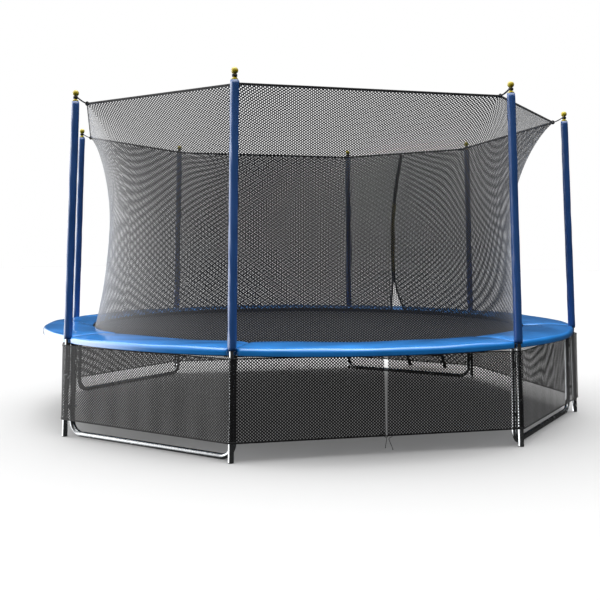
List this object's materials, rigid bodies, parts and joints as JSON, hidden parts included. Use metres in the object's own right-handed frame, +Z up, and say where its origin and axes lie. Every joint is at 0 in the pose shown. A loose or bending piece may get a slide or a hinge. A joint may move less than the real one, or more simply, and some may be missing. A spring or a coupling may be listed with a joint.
{
  "type": "trampoline",
  "caption": "Round garden trampoline with padded sleeves on leaning poles, an inner safety net with a zip door, a spring pad, a mesh skirt and a ladder.",
  "frame": {"origin": "on the ground, at the middle of the ring; the ladder stands out on +Y, so this is not the middle of the bounding box", "axes": "+Z up; +Y towards the door and the ladder; +X to the right of someone who looks along +Y"},
  "size_m": [4.632, 5.1034, 2.5718],
  "materials": {
    "galvanised_steel": "galvanised tube, semi-bright",
    "zinc_steel": "bright zinc plated",
    "pad_vinyl": "glossy coated vinyl over foam",
    "sleeve_vinyl": "glossy vinyl over foam tube",
    "cap_plastic": "moulded, glossy",
    "black_plastic": "moulded, matt",
    "mat_fabric": "woven, matt",
    "webbing": "woven webbing, matt",
    "net_mesh": "knitted mesh, see-through",
    "zip_tape": "woven tape with zip teeth",
    "skirt_mesh": "knitted mesh, see-through",
    "drawcord": "braided cord",
    "ladder_paint": "powder coated, satin",
    "foot_rubber": "moulded rubber"
  },
  "bodies": {
    "frame": {"top_rail_1": "galvanised_steel", "top_rail_2": "galvanised_steel", "top_rail_3": "galvanised_steel", "top_rail_4": "galvanised_steel", "top_rail_5": "galvanised_steel", "top_rail_6": "galvanised_steel", "top_rail_7": "galvanised_steel", "top_rail_8": "galvanised_steel", "t_sockets": "galvanised_steel", "leg_1": "galvanised_steel", "leg_2": "galvanised_steel", "leg_3": "galvanised_steel", "leg_4": "galvanised_steel", "lower_poles": "galvanised_steel", "upper_poles": "galvanised_steel", "foam_sleeve_1": "sleeve_vinyl", "foam_sleeve_2": "sleeve_vinyl", "foam_sleeve_3": "sleeve_vinyl", "foam_sleeve_4": "sleeve_vinyl", "foam_sleeve_5": "sleeve_vinyl", "foam_sleeve_6": "sleeve_vinyl", "foam_sleeve_7": "sleeve_vinyl", "foam_sleeve_8": "sleeve_vinyl", "pole_caps": "cap_plastic", "pole_spacers": "black_plastic", "clamp_bolts": "zinc_steel", "pole_feet": "black_plastic", "pad_1": "pad_vinyl", "pad_2": "pad_vinyl", "pad_3": "pad_vinyl", "pad_4": "pad_vinyl", "pad_5": "pad_vinyl", "pad_6": "pad_vinyl", "pad_7": "pad_vinyl", "pad_8": "pad_vinyl", "springs": "zinc_steel", "net_panel_1": "net_mesh", "net_panel_2": "net_mesh", "net_panel_3": "net_mesh", "net_panel_4": "net_mesh", "net_panel_5": "net_mesh", "net_panel_6": "net_mesh", "net_panel_7": "net_mesh", "net_panel_8": "net_mesh", "net_top_hem": "webbing", "cap_straps": "webbing", "zip_tapes": "zip_tape", "skirt": "skirt_mesh", "skirt_knot": "drawcord", "bow_left": "drawcord", "bow_right": "drawcord"},
    "mat": {"jumping_mat": "mat_fabric", "mat_binding": "webbing", "v_rings": "zinc_steel"},
    "zip_slider": {"zip_slider": "black_plastic"},
    "ladder": {"ladder_rail_left": "ladder_paint", "ladder_rail_right": "ladder_paint", "ladder_treads": "black_plastic", "ladder_bolts": "zinc_steel", "ladder_feet": "foot_rubber"}
  },
  "joints": [
    {"name": "mat_bounce", "type": "slide", "parent": "frame", "child": "mat", "axis": [0, 0, 1], "range_m": [-0.2, 0], "stiffness_N_per_m": 5000, "springref_m": 0.01, "deforming": ["springs"]},
    {"name": "ladder_swing", "type": "hinge", "parent": "frame", "child": "ladder", "pos_m": [0, 2.253, 0.686], "axis": [1, 0, 0], "range_deg": [0, 12]},
    {"name": "zip_slide", "type": "slide", "parent": "frame", "child": "zip_slider", "axis": [0, -0.08, 0.9968], "range_m": [0, 0.3]}
  ]
}
